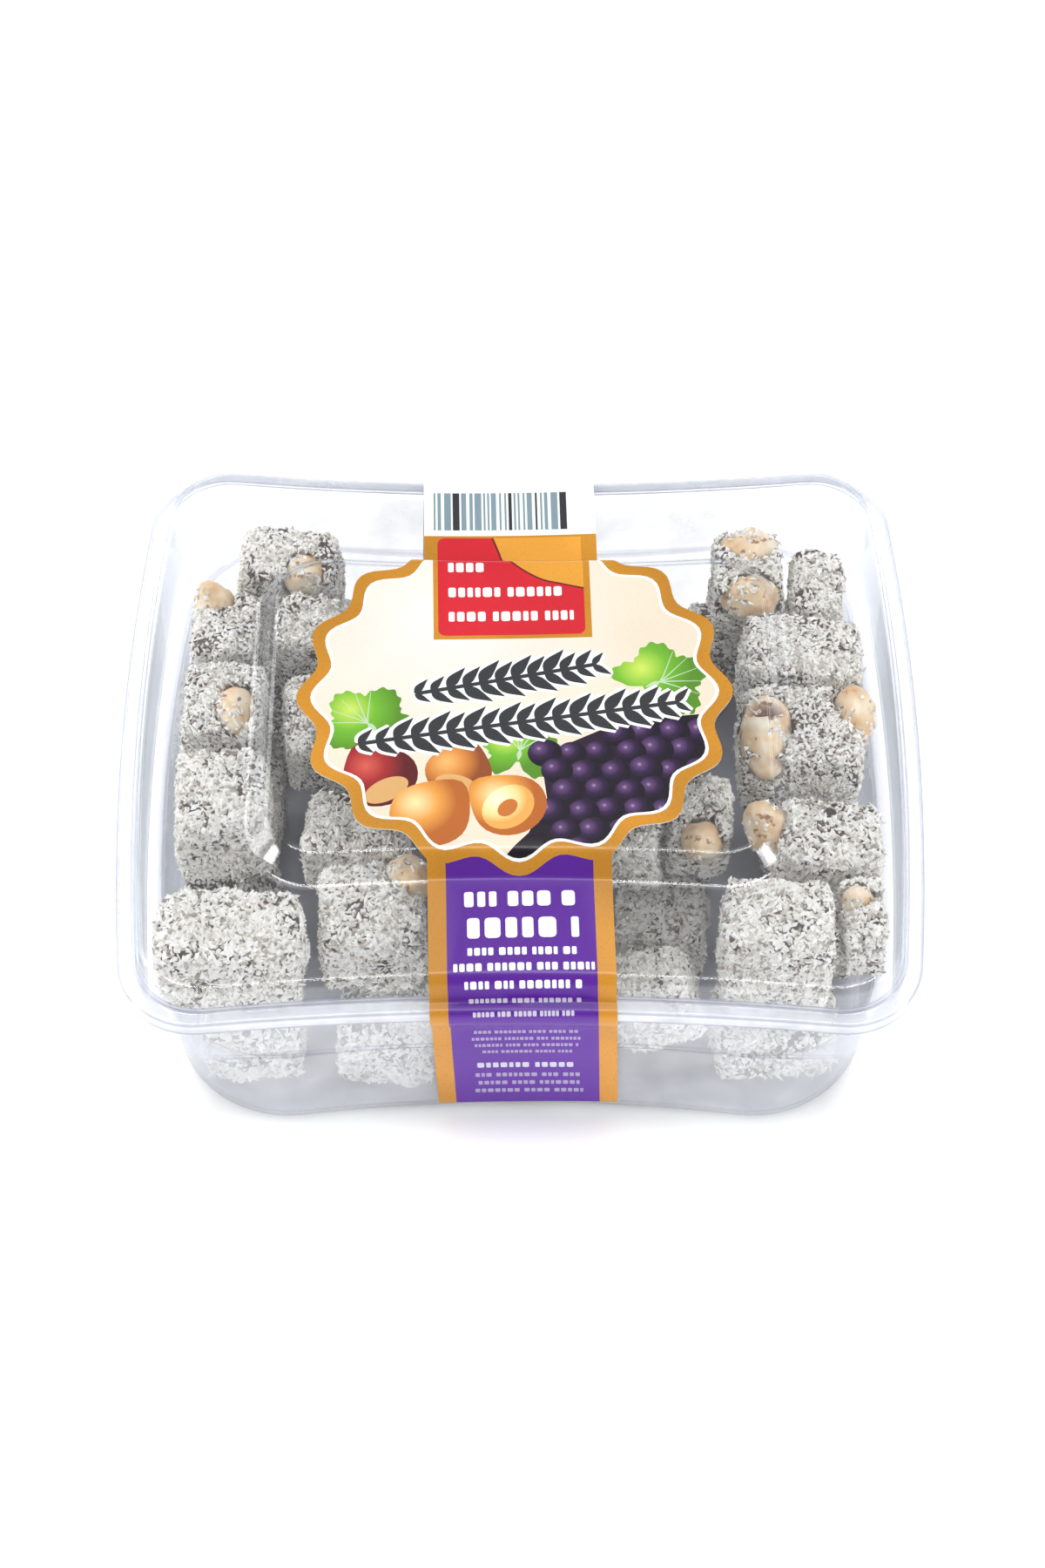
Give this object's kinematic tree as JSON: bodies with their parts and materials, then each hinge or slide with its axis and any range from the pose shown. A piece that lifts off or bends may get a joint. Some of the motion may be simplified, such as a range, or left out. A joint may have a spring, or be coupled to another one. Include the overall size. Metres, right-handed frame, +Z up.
{
  "type": "hazelnut grape turkish delight in a clear box",
  "caption": "Shut clear plastic box of coconut-rolled grape jelly cubes with hazelnuts, sealed by a draped paper band with a scalloped badge.",
  "frame": {"origin": "centre of the tray's flat underside, on the surface that the box rests on", "axes": "+X to the right along the box's long side, +Y to the back, +Z up"},
  "size_m": [0.135, 0.1192, 0.0454],
  "materials": {
    "clear_plastic": "clear thermoformed sheet",
    "label_paper": "printed gloss label in gold, cream, red and purple",
    "lokum": "dark grape jelly rolled in fine white coconut",
    "hazelnut": "roasted kernel, satin"
  },
  "bodies": {
    "root": {"hazelnut_01": "hazelnut", "hazelnut_02": "hazelnut", "hazelnut_03": "hazelnut", "hazelnut_04": "hazelnut", "hazelnut_05": "hazelnut", "hazelnut_06": "hazelnut", "hazelnut_07": "hazelnut", "hazelnut_08": "hazelnut", "hazelnut_09": "hazelnut", "hazelnut_10": "hazelnut", "hazelnut_11": "hazelnut", "label": "label_paper", "lid": "clear_plastic", "lokum_lower_01": "lokum", "lokum_lower_02": "lokum", "lokum_lower_03": "lokum", "lokum_lower_04": "lokum", "lokum_lower_05": "lokum", "lokum_lower_06": "lokum", "lokum_lower_07": "lokum", "lokum_lower_08": "lokum", "lokum_lower_09": "lokum", "lokum_lower_10": "lokum", "lokum_lower_11": "lokum", "lokum_lower_12": "lokum", "lokum_lower_13": "lokum", "lokum_lower_14": "lokum", "lokum_lower_15": "lokum", "lokum_lower_16": "lokum", "lokum_lower_17": "lokum", "lokum_lower_18": "lokum", "lokum_lower_19": "lokum", "lokum_lower_20": "lokum", "lokum_lower_21": "lokum", "lokum_upper_01": "lokum", "lokum_upper_02": "lokum", "lokum_upper_03": "lokum", "lokum_upper_04": "lokum", "lokum_upper_05": "lokum", "lokum_upper_06": "lokum", "lokum_upper_07": "lokum", "lokum_upper_08": "lokum", "lokum_upper_09": "lokum", "lokum_upper_10": "lokum", "lokum_upper_11": "lokum", "lokum_upper_12": "lokum", "lokum_upper_13": "lokum", "lokum_upper_14": "lokum", "lokum_upper_15": "lokum", "lokum_upper_16": "lokum", "lokum_upper_17": "lokum", "lokum_upper_18": "lokum", "lokum_upper_19": "lokum", "tray": "clear_plastic"}
  },
  "joints": []
}
